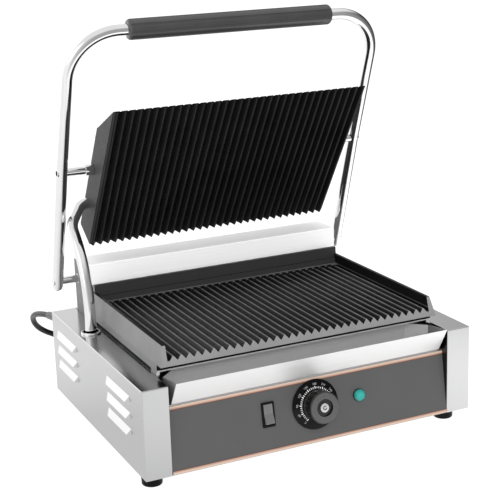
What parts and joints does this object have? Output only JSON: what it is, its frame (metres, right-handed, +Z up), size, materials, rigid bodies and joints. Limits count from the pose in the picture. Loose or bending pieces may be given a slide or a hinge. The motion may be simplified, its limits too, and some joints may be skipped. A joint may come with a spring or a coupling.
{
  "type": "panini press",
  "caption": "Countertop contact grill: a ribbed upper plate on a bail handle swings down onto a ribbed lower plate to press and toast bread; with drip tray, dial, switch and mains lead.",
  "frame": {"origin": "on the table top, under the middle of the grill's overall width and depth, the power cord left out", "axes": "+Z up, -Y towards the user, in front of the control panel, +X to the user's right"},
  "size_m": [0.438, 0.49, 0.5075],
  "materials": {
    "stainless": "satin, brushed",
    "galvanised": "dull zinc",
    "zinc": "bright zinc",
    "chrome": "polished",
    "cast_iron": "seasoned, dark grey",
    "element_steel": "oxidised",
    "spring_steel": "oiled",
    "bronze": "plain",
    "copper": "plain",
    "mineral_fibre": "fibrous",
    "film_grey": "satin film",
    "copper_print": "printed",
    "black_plastic": "glossy",
    "knob_black": "satin",
    "lens_teal": "clear, coloured",
    "grip_grey": "satin",
    "black_paint": "heat-proof paint",
    "ceramic": "glazed",
    "foot_rubber": "matte",
    "cord_black": "matte"
  },
  "bodies": {
    "base": {"left_side_cover": "stainless", "right_side_cover": "stainless", "base_pan": "galvanised", "rear_panel": "stainless", "rear_screws": "zinc", "top_deck": "galvanised", "insulation_board": "mineral_fibre", "front_panel": "stainless", "control_film": "film_grey", "panel_stripes": "copper_print", "switch_housing": "black_plastic", "thermostat_body": "zinc", "thermostat_bulb": "copper", "lamp_body": "black_plastic", "lamp_lens": "lens_teal", "lower_plate": "cast_iron", "lower_element": "element_steel", "lower_element_clamps": "zinc", "lower_clamp_screws": "zinc", "hinge_box": "stainless", "hinge_bushes": "bronze", "left_spring": "spring_steel", "right_spring": "spring_steel", "conduit_ring": "chrome", "terminal_block": "ceramic", "feet": "foot_rubber", "foot_screws": "zinc", "cord_gland": "cord_black", "cord_lead": "cord_black", "cord_coil": "cord_black", "cord_tie": "cord_black", "cord_tail": "cord_black", "plug": "cord_black"},
    "handle": {"handle_tube": "chrome", "handle_grip": "grip_grey", "hinge_shaft": "chrome", "pivot_pins": "chrome", "arm_end_plugs": "chrome"},
    "lid": {"upper_plate": "cast_iron", "upper_cover": "black_paint", "cover_screws": "zinc", "upper_element": "element_steel", "upper_element_clamps": "zinc", "upper_clamp_screws": "zinc", "conduit_tube": "chrome", "conduit_nut": "zinc"},
    "tray": {"drip_tray": "stainless"},
    "dial": {"dial_skirt": "black_plastic", "knob": "knob_black", "knob_cap": "chrome", "thermostat_shaft": "zinc"},
    "rocker": {"rocker": "black_plastic"}
  },
  "joints": [
    {"name": "handle_hinge", "type": "hinge", "parent": "base", "child": "handle", "pos_m": [0, 0.15572, 0.169], "axis": [1, 0, 0], "range_deg": [0, 66.64], "deforming": ["left_spring", "right_spring"]},
    {"name": "lid_tilt", "type": "hinge", "parent": "handle", "child": "lid", "pos_m": [0, 0.10422, 0.321], "axis": [1, 0, 0], "range_deg": [-10.2, 0]},
    {"name": "tray_slide", "type": "slide", "parent": "base", "child": "tray", "axis": [0, -1, 0], "range_m": [0, 0.04]},
    {"name": "dial_turn", "type": "hinge", "parent": "base", "child": "dial", "pos_m": [0.0017, -0.14916, 0.06435], "axis": [0, 0.9883, -0.1525], "range_deg": [0, 270]},
    {"name": "rocker_tip", "type": "hinge", "parent": "base", "child": "rocker", "pos_m": [-0.0595, -0.14824, 0.06371], "axis": [1, 0, 0], "range_deg": [0, 20]}
  ],
  "couplings": [
    {"joint": "lid_tilt", "follows": "handle_hinge", "ratio": -0.15137}
  ]
}
